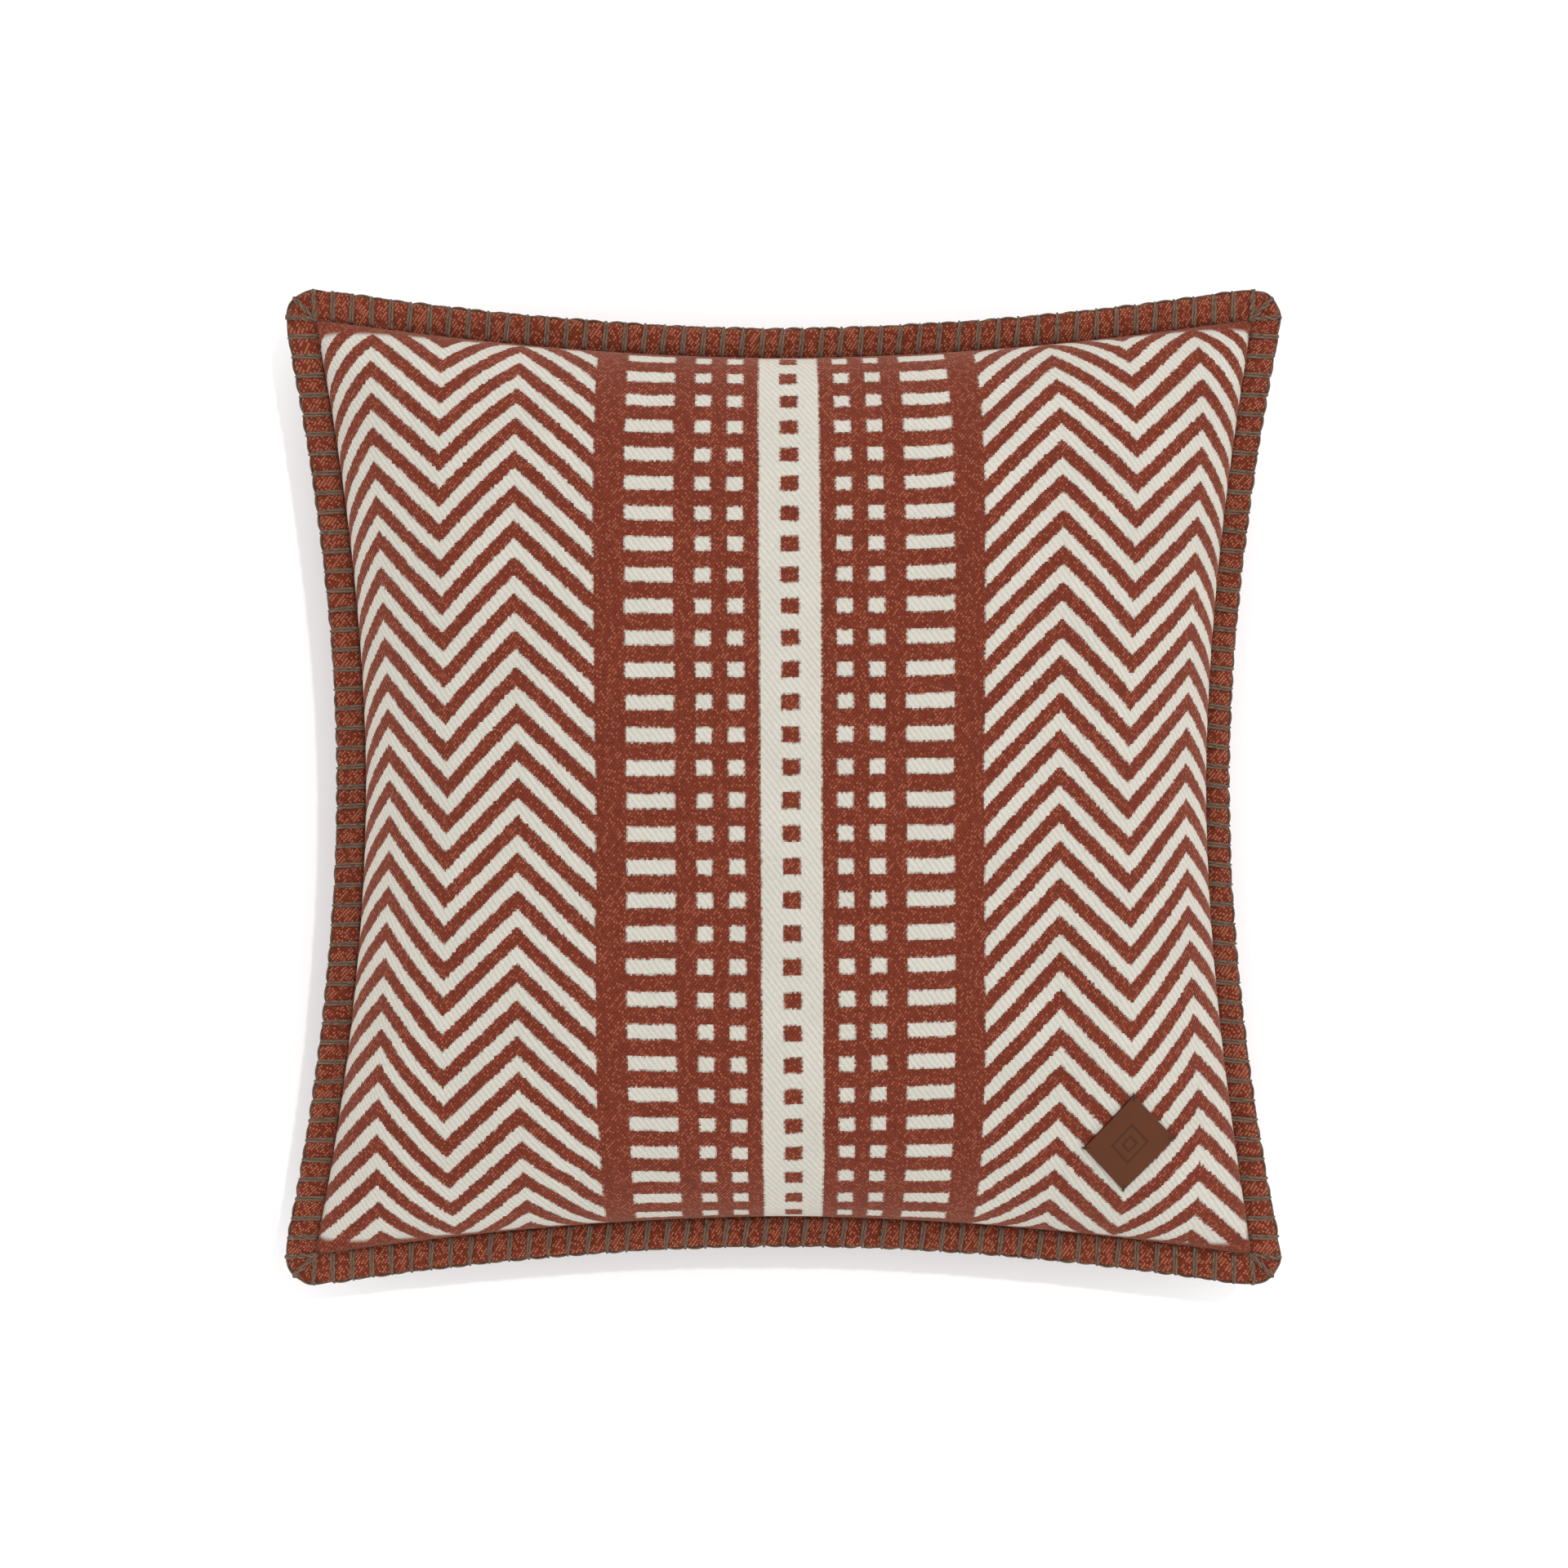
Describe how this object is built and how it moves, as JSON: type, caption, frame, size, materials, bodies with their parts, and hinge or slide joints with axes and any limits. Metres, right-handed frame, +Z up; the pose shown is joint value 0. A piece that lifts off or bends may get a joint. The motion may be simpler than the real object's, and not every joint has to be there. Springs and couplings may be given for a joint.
{
  "type": "throw pillow",
  "caption": "Square throw pillow with a woven wool cover, a blanket-stitched flange, a leather corner patch, a zip in the back and a loose pad inside.",
  "frame": {"origin": "on the resting plane, below the middle of the cover", "axes": "+Z up, out of the pillow's front; +Y towards its top edge; +X towards its right edge"},
  "size_m": [0.4982, 0.4988, 0.1406],
  "materials": {
    "rust_wool": "brushed wool twill, rust and cream jacquard",
    "edge_yarn": "two-ply wool yarn, matt",
    "sewing_thread": "spun polyester thread, matt",
    "leather": "smooth vegetable-tanned, satin",
    "zip_tape": "woven herringbone tape",
    "zip_coil": "nylon coil, satin",
    "zip_metal": "antique, satin",
    "label_satin": "satin ribbon",
    "pad_cotton": "downproof cotton, matt",
    "pad_filling": "loose filling"
  },
  "bodies": {
    "cushion": {"front_panel": "rust_wool", "back_panel_upper": "rust_wool", "back_panel_lower": "rust_wool", "cover_seam_thread": "sewing_thread", "edge_yarn_top": "edge_yarn", "edge_yarn_right": "edge_yarn", "edge_yarn_bottom": "edge_yarn", "edge_yarn_left": "edge_yarn", "edge_yarn_corners": "edge_yarn", "leather_patch": "leather", "patch_tacks": "edge_yarn", "zip_tape_upper": "zip_tape", "zip_tape_lower": "zip_tape", "zip_coil_upper": "zip_coil", "zip_coil_lower": "zip_coil", "zip_top_stops": "zip_metal", "zip_bottom_stop": "zip_metal", "zip_thread_upper": "sewing_thread", "zip_thread_lower": "sewing_thread", "care_label": "label_satin", "pad_casing_front": "pad_cotton", "pad_casing_back": "pad_cotton", "pad_fill": "pad_filling", "pad_seam_thread": "sewing_thread"},
    "slider": {"zip_slider": "zip_metal"},
    "pull": {"zip_pull": "zip_metal"}
  },
  "joints": [
    {"name": "zip_slide", "type": "slide", "parent": "cushion", "child": "slider", "axis": [-1, 0, 0], "range_m": [0, 0.268]},
    {"name": "pull_swing", "type": "hinge", "parent": "slider", "child": "pull", "pos_m": [0.1402, -0.048, 0.00155], "axis": [0, -1, 0], "range_deg": [0, 180]}
  ]
}
